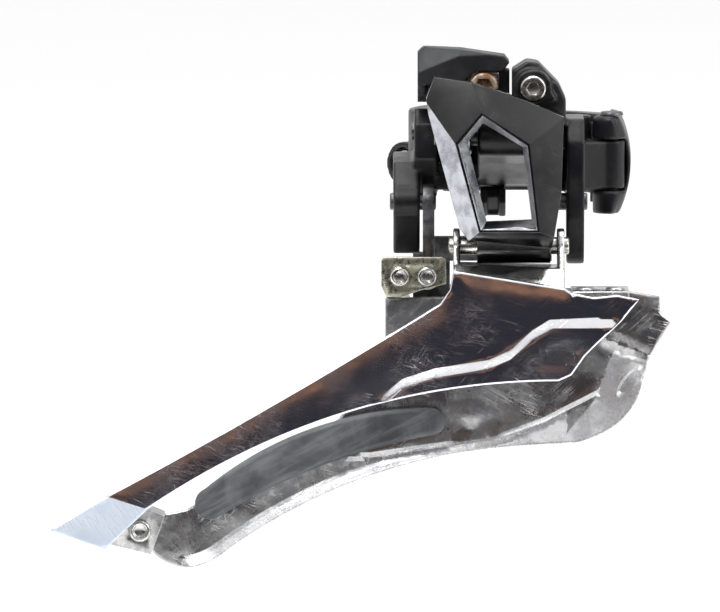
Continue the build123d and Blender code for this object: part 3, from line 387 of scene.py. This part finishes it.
def moulded(node, voxel, passes):
    """A cast or moulded CAD node, remeshed in voxels of a size in mm and softened to round its corners."""
    piece = copied(node, node + "_moulded")
    remesh = piece.modifiers.new("voxels", "REMESH")
    remesh.mode = "VOXEL"
    remesh.voxel_size = voxel * MM
    soften = piece.modifiers.new("soften", "SMOOTH")
    soften.factor = 0.5
    soften.iterations = passes
    applied(piece)
    for polygon in piece.data.polygons:
        polygon.use_smooth = True
    return settle(piece, node, MATERIALS[SLOT_OF[node]])


def plate_point(spot, outboard):
    """A 3D point in metres from a spot (x, z) and its outboard distance in mm."""
    return Vector((spot[0] * MM, -outboard * MM, spot[1] * MM))


def inside(point, ring):
    """Whether a point lies inside a closed ring of points."""
    x, z = point
    hit = False
    for (x0, z0), (x1, z1) in zip(ring, ring[1:] + ring[:1]):
        if (z0 > z) != (z1 > z) and x < (x1 - x0) * (z - z0) / (z1 - z0) + x0:
            hit = not hit
    return hit


def away(point, ring, closed=True):
    """Distance from a point to a line of points."""
    best = 1e9
    p = Vector(point)
    pairs = zip(ring, ring[1:] + ring[:1]) if closed else zip(ring, ring[1:])
    for a, b in pairs:
        start = Vector(a)
        run = Vector(b) - start
        along = max(0.0, min(1.0, (p - start).dot(run) / max(run.length_squared, 1e-12)))
        best = min(best, (p - start - run * along).length)
    return best


def curved(ring, step):
    """Points along straight runs and three-point arcs, every step mm. An arc is ('arc', middle, end)."""
    points = [ring[0]]
    for item in ring[1:]:
        start = Vector(points[-1])
        if item[0] == "arc":
            middle, end = Vector(item[1]), Vector(item[2])
            control = 2 * middle - 0.5 * (start + end)
            count = max(2, int((end - start).length / step))
            for i in range(1, count + 1):
                t = i / count
                spot = start * (1 - t) ** 2 + control * (2 * t * (1 - t)) + end * t ** 2
                points.append((spot.x, spot.y))
        else:
            end = Vector(item)
            count = max(1, int((end - start).length / step))
            points += [tuple(start.lerp(end, i / count)) for i in range(1, count + 1)]
    if (Vector(points[0]) - Vector(points[-1])).length < 1e-6:
        points.pop()
    return points


def line_z(line, x):
    """Height of a line of points at x, held level beyond its ends."""
    if x <= line[0][0]:
        return line[0][1]
    for (x0, z0), (x1, z1) in zip(line, line[1:]):
        if x <= x1:
            return z0 + (z1 - z0) * (x - x0) / (x1 - x0)
    return line[-1][1]


def offset_line(line, amount):
    """A line of points moved along Z."""
    return [(x, z + amount) for x, z in line]


def round_points(centre, radius, degrees):
    """Points on a circle at the given angles."""
    turns = [math.radians(angle) for angle in degrees]
    return [(centre[0] + radius * math.cos(turn), centre[1] + radius * math.sin(turn)) for turn in turns]


def ramp(distance, near, far):
    """Smooth step from 1 at near to 0 at far."""
    t = max(0.0, min(1.0, (far - distance) / (far - near)))
    return t * t * (3 - 2 * t)


def shrunk(ring, depth):
    """The points of a closed ring moved towards the metal beside it by depth."""
    moved = []
    count = len(ring)
    for i in range(count):
        before, here, after = (Vector(ring[(i + k) % count]) for k in (-1, 0, 1))
        run = (after - before).normalized()
        side = Vector((-run.y, run.x)) * depth
        moved.append(tuple(here + side if inside(tuple(here + side * 0.5), ring) else here - side))
    return moved


def pressed_plate(name, outline, height, face, back, grid, rounding, holes=(), lines=(), shelves=()):
    """Sheet metal plate whose outer face follows height(x, z), with a rounded rim. All sizes are in mm.

    face and back are outboard distances of the plain faces; holes are extra rings to leave open;
    lines are crease lines that the mesh follows; shelves are distances from the outline where it has
    rows of points too.
    """
    border = max((rounding, *shelves))
    rings = [outline, *holes]
    points = []
    edges = []
    for ring in rings:
        first = len(points)
        points += [Vector(p) for p in ring]
        edges += [(first + i, first + (i + 1) % len(ring)) for i in range(len(ring))]
    for line in lines:
        first = len(points)
        points += [Vector(p) for p in line]
        edges += [(first + i, first + i + 1) for i in range(len(line) - 1)]
    for ring in rings:
        for depth in (share * rounding for share in RIM_ROWS):
            points += [Vector(p) for p in shrunk(ring, depth) if away(p, ring) > 0.9 * depth]
    for depth in shelves:
        for p in shrunk(outline, depth):
            if inside(p, outline) and min(away(p, ring) for ring in rings) > 0.97 * depth:
                points.append(Vector(p))
    xs, zs = [p[0] for p in outline], [p[1] for p in outline]
    rows = int((max(zs) - min(zs)) / grid) + 1
    columns = int((max(xs) - min(xs)) / grid) + 1
    for row in range(rows):
        for column in range(columns):
            x = min(xs) + (column + 0.5 * (row % 2)) * grid
            z = min(zs) + row * grid
            spot = (x, z)
            if not inside(spot, outline) or any(inside(spot, hole) for hole in holes):
                continue
            if min(away(spot, ring) for ring in rings) > border + 0.4 * grid:
                if all(away(spot, line, False) > 0.4 * grid for line in lines):
                    points.append(Vector(spot))
    flat, _, faces, *_ = delaunay_2d_cdt(points, edges, [], 0, 1e-5)
    bm = bmesh.new()
    front = []
    rear = []
    for spot in flat:
        rim = min(away(spot, ring) for ring in rings)
        lift = height(*spot)
        droop = rounding * (1 - math.sqrt(max(0.0, 1 - (1 - min(rim / rounding, 1.0)) ** 2)))
        rear_lift = max(-0.5, min(lift, 0.6)) * 0.9
        front.append(bm.verts.new(plate_point(spot, face + lift - 0.8 * droop)))
        rear.append(bm.verts.new(plate_point(spot, back + rear_lift + 0.5 * droop)))
    for tri in faces:
        middle = sum((flat[i] for i in tri), Vector((0, 0))) / len(tri)
        spot = (middle.x, middle.y)
        if not inside(spot, outline) or any(inside(spot, hole) for hole in holes):
            continue
        bm.faces.new([front[i] for i in tri])
        bm.faces.new([rear[i] for i in reversed(tri)])
    open_edges = [edge for edge in bm.edges if edge.is_boundary]
    front_index = {vert: i for i, vert in enumerate(front)}
    for edge in open_edges:
        if all(vert in front_index for vert in edge.verts):
            a, b = (front_index[vert] for vert in edge.verts)
            bm.faces.new([front[a], front[b], rear[b], rear[a]])
    bmesh.ops.delete(bm, geom=[vert for vert in bm.verts if not vert.link_faces], context="VERTS")
    bmesh.ops.recalc_face_normals(bm, faces=bm.faces)
    piece = built(bm, name)
    smooth(piece.data, 0.24)
    return piece


def joined(pieces, name):
    """One object out of several meshes."""
    bm = bmesh.new()
    slots = []
    for piece in pieces:
        for material in piece.data.materials:
            if material not in slots:
                slots.append(material)
    for piece in pieces:
        first = len(bm.faces)
        bm.from_mesh(piece.data)
        bm.faces.ensure_lookup_table()
        order = [slots.index(material) for material in piece.data.materials]
        for face in bm.faces[first:]:
            face.material_index = order[face.material_index] if order else 0
        bpy.data.objects.remove(piece)
    whole = built(bm, name)
    for material in slots:
        whole.data.materials.append(material)
    return whole


def prism(name, profile, start, end, bevel, end_profile=None):
    """A profile in (y, z) mm swept along X from start to end, with rounded edges.

    end_profile is the shape at the end, where it differs from the start's.
    """
    bm = bmesh.new()
    ends = []
    for x, ring in ((start, profile), (end, end_profile or profile)):
        ends.append([bm.verts.new(Vector((x, y, z)) * MM) for y, z in ring])
    bm.faces.new(ends[0])
    bm.faces.new(list(reversed(ends[1])))
    count = len(profile)
    for i in range(count):
        j = (i + 1) % count
        bm.faces.new([ends[0][j], ends[0][i], ends[1][i], ends[1][j]])
    bmesh.ops.recalc_face_normals(bm, faces=bm.faces)
    piece = bevelled(built(bm, name), bevel, 3, 0.3)
    smooth(piece.data, 0.7)
    return piece


def finished(piece, labels, choose):
    """Give a piece several materials; choose(middle, normal) names each face's, with the middle in mm."""
    piece.data.materials.clear()
    for label in labels:
        piece.data.materials.append(MATERIALS[label])
    for polygon in piece.data.polygons:
        polygon.material_index = labels.index(choose(polygon.center / MM, polygon.normal))


# ---------------------------------------------------------------- pieces that follow the CAD meshes
for label in NODES:
    NODES[label].data.materials.clear()
    NODES[label].data.materials.append(MATERIALS[SLOT_OF[label]])

for label, radius in (
    ("nose_rivets", 0.25), ("tail_spacer", 0.3), ("tail_rivet", 0.35), ("limit_screw_bracket", 0.35),
    ("low_limit_screw", 0.15), ("high_limit_screw", 0.15), ("cable_adjust_bolt", 0.2),
    ("cable_anchor_bolt", 0.25), ("cable_washer", 0.2), ("cable_guide", 0.3), ("clamp_bolt", 0.3),
    ("clamp_hinge_pin", 0.15),
    ("toggle_link", 0.25), ("inner_link", 0.3), ("outer_upper_pin", 0.12), ("outer_lower_pin", 0.12),
    ("inner_rear_pin", 0.12), ("inner_front_pin", 0.12), ("inner_lower_pin", 0.12), ("cable_arm_pin", 0.12),
    ("toggle_outer_pin", 0.1), ("toggle_arm_pin", 0.1),
):
    refined(label, radius)

for label, voxel, passes in (("base_body", 0.28, 6), ("clamp_band", 0.28, 5), ("cable_arm", 0.2, 4),
                             ("skid_pad", 0.25, 3)):
    moulded(label, voxel, passes)


HEAD_START = 15.5         # where the clamp's head begins along X
HEAD_BULGE = 2.0
HEAD_HALF_HEIGHT = 8.5
HOOD_FRONT = -29.5        # the hood's front wall is further outboard than this
HOOD_BASE = 16.5
HOOD_SLOPE = 0.55
HOOD_CREASE = ((-17.8, 17.0), (-16.6, 17.6), (-10.7, 20.0), (-4.1, 20.3), (-1.8, 19.2))


def crown_head(piece):
    """Round the clamp's head, so that it bulges at mid height."""
    for vert in piece.data.vertices:
        x, z = vert.co.x / MM, vert.co.z / MM
        if x > HEAD_START:
            share = min(1.0, (x - HEAD_START) / 3.0)
            vert.co.x -= HEAD_BULGE * MM * share * min(1.0, abs(z) / HEAD_HALF_HEIGHT) ** 2


def crease_hood(piece):
    """Slope the hood's front back above its crease."""
    for vert in piece.data.vertices:
        x, y, z = vert.co / MM
        if y < HOOD_FRONT and z > HOOD_BASE:
            above = max(0.0, z - line_z(HOOD_CREASE, x))
            vert.co.y += HOOD_SLOPE * MM * above * min(1.0, (HOOD_FRONT - y) / 1.5)


crown_head(bpy.data.objects["clamp_band_moulded"])
crease_hood(bpy.data.objects["cable_arm_moulded"])


# ---------------------------------------------------------------- outer plate of the cage
PLATE_FACE = 47.4         # outboard distances of the plate's two faces
PLATE_BACK = 46.0
PLATE_FRONT_FACES = -46.4  # faces beyond this Y belong to the outer side
TAIL_CREASE = ((-71.6, -54.8), (-64.3, -57.1))
TAIL_CREASE_ROW = [(-71.0, -54.99), (-68.0, -55.94), (-64.8, -56.94)]
TAIL_LIFT = 0.07          # rise for each mm beyond the tail's crease
UPPER_RUN = [(-81.2, -60.7), (-71.0, -54.6), ("arc", (-42.6, -38.8), (-14.0, -21.6)), (-12.3, -19.2),
             (-11.7, -15.9), (7.5, -19.0)]
UPPER_EDGE = curved(UPPER_RUN, 1.0)
UPPER_ROLL = 5.0          # width of the rolled-back band along the upper edge
OUTER_RING = curved([(-64.3, -57.1), (-71.6, -64.0), *UPPER_RUN, (8.6, -19.8), (12.4, -20.5),
                     (14.0, -20.35), (16.5, -20.1), (20.2, -20.9), (17.2, -24.6), (13.1, -28.4),
                     (10.9, -30.6), (8.6, -33.9), (6.4, -34.9),
                     ("arc", (-30.3, -40.5), (-64.3, -57.1))], 0.8)
RIB = [(-26.5, -39.8), (-24.3, -38.4), (-20.5, -35.3), (-15.0, -33.5), (-5.7, -32.0), (-1.9, -30.3),
       (1.9, -26.9), (4.8, -25.1), (13.1, -24.7), (16.4, -25.3)]
RIB_RISE = 0.58           # how far the face below the rib's slope stands out
RIB_TOP = 0.75            # how far above the rib's line its slope starts
RIB_SLOPE = 1.6           # how wide the slope is
POCKET = [(3.4, -29.8), (6.0, -28.0), (12.4, -27.8), (9.8, -30.4), (8.0, -33.2), (1.2, -32.8)]
POCKET_DEPTH = 0.12


def in_tail(x, z):
    """Whether a point is on the tail facet, beyond its crease."""
    (x0, z0), (x1, z1) = TAIL_CREASE
    return (x - x0) * (z1 - z0) - (z - z0) * (x1 - x0) > 0


def outer_height(x, z):
    """How far the outer plate's face stands out at a point, in mm."""
    h = -0.013 * max(0.0, UPPER_ROLL - away((x, z), UPPER_EDGE, False)) ** 2
    if x > -27.5:
        from_rib = away((x, z), RIB, False) * (1 if z > line_z(RIB, x) else -1)
        presence = 1 - ramp(x, -26.5, -22.5)
        slope = max(0.0, min(1.0, (RIB_TOP - from_rib) / RIB_SLOPE))
        h += RIB_RISE * presence * slope
    if x > 0 and inside((x, z), POCKET):
        h -= POCKET_DEPTH * min(away((x, z), POCKET) / 0.6, 1.0)
    if in_tail(x, z):
        h += TAIL_LIFT * min(away((x, z), list(TAIL_CREASE), False), 7.0)
    ripple = 0.05 * noise.noise(Vector((x * 0.09, z * 0.09, 0)))
    return max(-0.6, min(RIB_RISE, h + ripple))


def outer_finish(middle, _):
    """Which finish a face of the outer plate has; the tail facet's outer faces take a painted pale
    reflection.
    """
    on_tail = in_tail(middle.x, middle.z) and middle.x < -60
    return "tail_facet" if on_tail and middle.y < PLATE_FRONT_FACES else "chrome_plate"


plate = pressed_plate("outer_plate_front", OUTER_RING, outer_height, PLATE_FACE, PLATE_BACK, 0.75, 0.3,
                      lines=(offset_line(RIB, RIB_TOP)[1:-1], offset_line(RIB, RIB_TOP - RIB_SLOPE)[1:-2],
                             TAIL_CREASE_ROW))
finished(plate, ["chrome_plate", "tail_facet"], outer_finish)

BRIDGE_LEFT = [(-46.3, -18.0), (-46.7, -16.4), (-43.6, -15.2), (-33.0, -15.5), (-33.0, -16.7),
               (-43.0, -16.7), (-45.6, -17.3), (-45.6, -18.0)]
BRIDGE_RIGHT = [(-46.3, -20.8), (-46.75, -19.4), (-43.4, -15.9), (-33.0, -15.9), (-33.0, -17.1),
                (-43.0, -17.1), (-45.6, -19.6), (-45.6, -20.8)]
EYE = round_points((-36, -12.5), 3, range(0, 181, 12))
EAR = [(-33.0, -16.2), *EYE, (-43.4, -16.2)]
FLANGE = [(-46.2, -22.1), (-46.2, -20.9), (-39.5, -20.9), (-39.5, -22.1)]
folds = [prism("bridge", BRIDGE_LEFT, -11.6, 7.5, 0.3, BRIDGE_RIGHT),
         prism("left_ear", EAR, -11.7, -10.5, 0.3), prism("right_ear", EAR, 6.2, 7.5, 0.3),
         prism("nose_flange", FLANGE, 8.6, 18.6, 0.3)]
for fold in folds:
    fold.data.materials.append(MATERIALS["bridge_satin"])
settle(joined([plate, *folds], "outer_plate_pressed"), "outer_plate")

# ---------------------------------------------------------------- inner plate of the cage
INNER_FACE = 34.0         # outboard distances of the plate's two faces
INNER_BACK = 32.8
LOWER_RUN = [("arc", (-27.0, -52.9), (-1.9, -47.5)), (10.0, -46.8), ("arc", (17.4, -43.0), (20.9, -37.1))]
LOWER_EDGE = curved([(-57.4, -68.5), ("arc", (-53.6, -67.4), (-50.2, -65.1)), *LOWER_RUN], 1.0)
INNER_RING = curved([(14.5, -20.3), (-12.2, -19.4), (-12.2, -21.4), (-23.4, -21.8), (-23.4, -29.4),
                     (-27.0, -36.5), (-31.5, -42.8), (-36.0, -45.4), (-44.0, -49.2), (-49.0, -51.6),
                     (-53.2, -54.9), (-55.7, -57.2), (-57.7, -58.5), (-61.3, -59.2), (-65.4, -57.8),
                     (-70.6, -63.2), (-69.6, -64.4), (-63.8, -65.8),
                     ("arc", (-57.4, -68.5), (-50.2, -65.1)), *LOWER_RUN, (22.4, -31.7), (25.9, -26.0),
                     (24.1, -24.1), (24.0, -21.5), (18.6, -20.6), (14.5, -20.3)], 0.9)
RIVET_HOLE = round_points((-65.7, -61.3), 1.2, range(0, 360, 30))
RIM_RISE = 1.25           # how far the lower rim turns out
RIM_BAND = 1.5            # width of its bright edge
STEP = [(-30.0, -50.0), (-26.0, -49.0), (-4.1, -45.8), (4.0, -42.9), (13.6, -38.0)]
STEP_ROW = curved(STEP[1:], 0.8)
BRIGHT_START = 6.7        # the smooth bright corner lies ahead of this X and below its line
BRIGHT_LINE = [(BRIGHT_START, -46.8), (12.8, -39.4), (16.0, -31.0), (24.0, -33.0)]
BRIGHT_ROW = curved([(7.9, -45.3), (12.8, -39.4), (14.0, -36.3)], 0.6)
RIDGE = [(14.8, -28.6), (22.4, -31.9)]
RIDGE_RISE = 0.5
CRESCENT = (18.9, -36.2)  # middle of the crescent dent at the nose, its two axes and half sizes
CRESCENT_LONG, CRESCENT_HALF_LONG = Vector((0.62, 0.78)), 3.3
CRESCENT_ACROSS, CRESCENT_HALF_WIDE = Vector((0.78, -0.62)), 1.15
CRESCENT_RIM = (0.75, 1.05)   # its wall, as shares of those half sizes
CRESCENT_DEPTH = 0.6
BOSS = (-8.4, -41.8)      # a low bulge below the outer plate's edge
BOSS_RISE = 0.4


def in_bright(x, z):
    """Whether a point is in the smooth bright corner under the nose."""
    return x > BRIGHT_START and z < line_z(BRIGHT_LINE, x)


def crescent_distance(x, z):
    """Distance from the middle of the crescent dent, as a share of its half sizes."""
    from_middle = Vector((x - CRESCENT[0], z - CRESCENT[1]))
    return math.hypot(from_middle.dot(CRESCENT_LONG) / CRESCENT_HALF_LONG,
                      from_middle.dot(CRESCENT_ACROSS) / CRESCENT_HALF_WIDE)


def inner_height(x, z):
    """How far the inner plate's face stands out at a point, in mm."""
    edge = away((x, z), LOWER_EDGE, False)
    rim_width = 2.2 + 2.8 * (1 - ramp(x, -6.0, BRIGHT_START))
    h = RIM_RISE * max(0.0, 1 - edge / rim_width)
    if -30 < x < 13.6:
        from_step = away((x, z), STEP, False)
        side = min(from_step / 0.4, 1.0) * (-1 if z < line_z(STEP, x) else 1)
        h += (0.26 * side - 0.09) * ramp(from_step, 0.4, 1.3)
    if x > 12:
        h += RIDGE_RISE * ramp(away((x, z), RIDGE, False), 0.1, 1.9)
        h -= CRESCENT_DEPTH * ramp(crescent_distance(x, z), *CRESCENT_RIM)
    if -13 < x < -4:
        h += BOSS_RISE * ramp(abs(x - BOSS[0]) + 0.9 * abs(z - BOSS[1]), 0.3, 3.0)
    dents = noise.noise(Vector((x * 0.16, z * 0.16, 3.0))) * 0.16
    dents += noise.noise(Vector((x * 0.45, z * 0.45, 9.0))) * 0.05
    return h + dents * (0.2 if in_bright(x, z) else 1.0 - ramp(edge, 1.5, 3.5))


def crescent(scale):
    """Ring of points round the crescent dent at the nose."""
    turns = [math.radians(15 * i) for i in range(25)]
    along = CRESCENT_LONG * CRESCENT_HALF_LONG * scale
    across = CRESCENT_ACROSS * CRESCENT_HALF_WIDE * scale
    return [tuple(Vector(CRESCENT) + along * math.cos(a) + across * math.sin(a)) for a in turns]


def inner_finish(middle, _):
    """Which finish a face of the inner plate has."""
    rim = away((middle.x, middle.z), LOWER_EDGE, False)
    under_step = -24 < middle.x < 7.9 and middle.z < line_z(STEP, middle.x)
    bright = in_bright(middle.x, middle.z) or rim < RIM_BAND or under_step
    return "worn_mirror" if bright else "nickel_plate"


plate = pressed_plate("inner_plate_front", INNER_RING, inner_height, INNER_FACE, INNER_BACK, 0.8, 0.4,
                      holes=(RIVET_HOLE,),
                      lines=(STEP_ROW, offset_line(STEP_ROW, 0.45), offset_line(STEP_ROW, -0.45),
                             curved(RIDGE, 0.5), BRIGHT_ROW,
                             *[crescent(share) for share in CRESCENT_RIM[::-1]]),
                      shelves=(0.8, RIM_BAND, 2.2))
finished(plate, ["nickel_plate", "worn_mirror"], inner_finish)

TOP_FLANGE = [(-34.2, -22.0), (-34.2, -20.9), (-44.2, -20.9), (-44.2, -19.7), (-32.8, -19.7),
              (-32.8, -22.0)]
TAB_EYE = round_points((-27, -24.4), 2.6, range(-90, 91, 15))
TAB_EAR = [(-33.2, -28.6), (-27.6, -27.0), *TAB_EYE, (-33.2, -21.9)]
folds = [prism("top_flange", TOP_FLANGE, 8.6, 18.6, 0.3), prism("rear_ear", TAB_EAR, -20.4, -19.1, 0.25),
         prism("front_ear", TAB_EAR, -11.7, -10.4, 0.25)]
for fold in folds:
    fold.data.materials.append(MATERIALS["nickel_plate"])
settle(joined([plate, *folds], "inner_plate_pressed"), "inner_plate")

# ---------------------------------------------------------------- outer link
WINDOW_RIM = [(-6.7, 10.7), (1.0, 5.5), (2.7, -9.0), (-7.0, -9.0), (-10.9, 5.7)]
# The outer link's finishes, together with the painted highlight and painted sheen its faces take by the way
# they turn.
LINK_FINISHES_AND_PAINTED_LIGHT = ["facet_black", "gloss_black", "bright_facet", "smoke_facet", "grey_facet"]


def link_finish_or_painted_light(middle, normal):
    """Which finish a face of the outer link has, or which painted highlight or painted sheen it takes by the
    way it faces.
    """
    x, z = middle.x, middle.z
    if normal.y > -0.25 or middle.y > -41:
        return "gloss_black"
    # A painted highlight round the window's rim on the outward faces.
    if away((x, z), WINDOW_RIM) < 0.42 and normal.y < -0.6 and middle.y < -45:
        return "bright_facet"
    # Painted sheen on the window's walls, a different grey for each way they face.
    if inside((x, z), WINDOW_RIM):
        if normal.x > 0.3:
            return "smoke_facet"
        return "grey_facet" if normal.x < -0.3 else "gloss_black"
    # A painted highlight on faces turned to the rear.
    if normal.x < -0.3 and z < 6.5 and normal.z < 0.45:
        return "bright_facet"
    return "gloss_black" if z < -9.2 else "facet_black"


link = bevelled(copied("outer_link", "outer_link_finished"), 0.3, 3, 0.2)
smooth(link.data, 0.5)
settle(link, "outer_link")
finished(link, LINK_FINISHES_AND_PAINTED_LIGHT, link_finish_or_painted_light)

# ---------------------------------------------------------------- camera, floor, light
TARGET = Vector((-27.76, -40.0, -22.6)) * MM
ELEVATION = math.radians(5)
DISTANCE = 2.5
VIEW_WIDTH = 124.1 * MM       # what the camera sees across at the target

camera_data = bpy.data.cameras.new("camera")
camera_data.sensor_width = 36
camera_data.lens = 36 * DISTANCE / VIEW_WIDTH
camera_data.clip_start = 0.05
camera = bpy.data.objects.new("camera", camera_data)
bpy.context.scene.collection.objects.link(camera)
camera.location = TARGET + DISTANCE * Vector((0, -math.cos(ELEVATION), math.sin(ELEVATION)))
camera.rotation_euler = (math.pi / 2 - ELEVATION, 0, 0)
bpy.context.scene.camera = camera
bpy.context.scene.view_settings.view_transform = "Standard"


def world_light():
    """A white room with a dim band low on the viewer's side, for polished faces to reflect."""
    world = bpy.data.worlds.new("room")
    world.use_nodes = True
    tree = world.node_tree
    tree.nodes.clear()
    add = tree.nodes.new
    link = tree.links.new
    place = add("ShaderNodeTexCoord")
    parts = add("ShaderNodeSeparateXYZ")
    link(place.outputs["Generated"], parts.inputs[0])

    def stepped(socket, low, high):
        node = add("ShaderNodeMapRange")
        node.interpolation_type = "SMOOTHSTEP"
        link(socket, node.inputs["Value"])
        node.inputs["From Min"].default_value = low
        node.inputs["From Max"].default_value = high
        return node.outputs[0]

    def times(a, b):
        node = add("ShaderNodeMath")
        node.operation = "MULTIPLY"
        link(a, node.inputs[0])
        link(b, node.inputs[1])
        return node.outputs[0]

    low_enough = stepped(parts.outputs["Z"], 0.36, 0.22)
    high_enough = stepped(parts.outputs["Z"], -0.62, -0.34)
    towards = stepped(parts.outputs["Y"], -0.42, -0.72)
    dim = times(times(low_enough, high_enough), towards)
    ramp_node = add("ShaderNodeValToRGB")
    stops = ramp_node.color_ramp.elements
    stops[0].position = 0.0
    stops[0].color = (1.0, 1.0, 1.0, 1)
    stops[1].position = 1.0
    stops[1].color = (0.03, 0.03, 0.04, 1)
    for position, colour in ((0.3, (0.70, 0.69, 0.70, 1)), (0.7, (0.16, 0.15, 0.17, 1))):
        stop = stops.new(position)
        stop.color = colour
    link(dim, ramp_node.inputs[0])
    # A warm strip within the dim band.
    warm = times(stepped(parts.outputs["Z"], 0.045, 0.085), stepped(parts.outputs["Z"], 0.16, 0.11))
    warm = times(warm, stepped(dim, 0.7, 0.95))
    tinted = add("ShaderNodeMix")
    tinted.data_type = "RGBA"
    link(warm, tinted.inputs["Factor"])
    link(ramp_node.outputs[0], tinted.inputs["A"])
    tinted.inputs["B"].default_value = (0.32, 0.17, 0.11, 1)
    lit = add("ShaderNodeBackground")
    lit.inputs["Strength"].default_value = 1.0
    link(tinted.outputs["Result"], lit.inputs["Color"])
    plain = add("ShaderNodeBackground")
    plain.inputs["Color"].default_value = (1, 1, 1, 1)
    plain.inputs["Strength"].default_value = 1.0
    rays = add("ShaderNodeLightPath")
    choice = add("ShaderNodeMixShader")
    link(rays.outputs["Is Camera Ray"], choice.inputs[0])
    link(lit.outputs[0], choice.inputs[1])
    link(plain.outputs[0], choice.inputs[2])
    output = add("ShaderNodeOutputWorld")
    link(choice.outputs[0], output.inputs[0])
    bpy.context.scene.world = world


world_light()

for label, spot, size, power in (
    ("key_light", (-0.35, -0.75, 0.9), 0.5, 9.0),
    ("fill_light", (0.8, -0.5, 0.5), 0.6, 5.0),
    ("top_light", (0.0, 0.1, 1.1), 0.8, 7.0),
):
    lamp = bpy.data.lights.new(label, "AREA")
    lamp.size = size
    lamp.energy = power
    holder = bpy.data.objects.new(label, lamp)
    bpy.context.scene.collection.objects.link(holder)
    holder.location = spot
    holder.rotation_euler = (TARGET - Vector(spot)).to_track_quat("-Z", "Y").to_euler()


FLOOR_Z = -0.125
FLOOR_CORNERS = ((-6, -0.3), (6, -0.3), (6, 8), (-6, 8))


def pale_floor():
    """A wide pale sheet well below the part, which ends in front so that polished faces don't mirror it."""
    bm = bmesh.new()
    bm.faces.new([bm.verts.new((x, y, 0)) for x, y in FLOOR_CORNERS])
    floor = built(bm, "floor")
    floor.location = (0, 0, FLOOR_Z)
    m = Nodes("floor_paint")
    m.surface("Base Color", m.mix(m.noise(3.0, 3.0), (0.93, 0.93, 0.93), (0.96, 0.96, 0.96)))
    m.surface("Roughness", 0.9)
    floor.data.materials.append(m.material)


pale_floor()
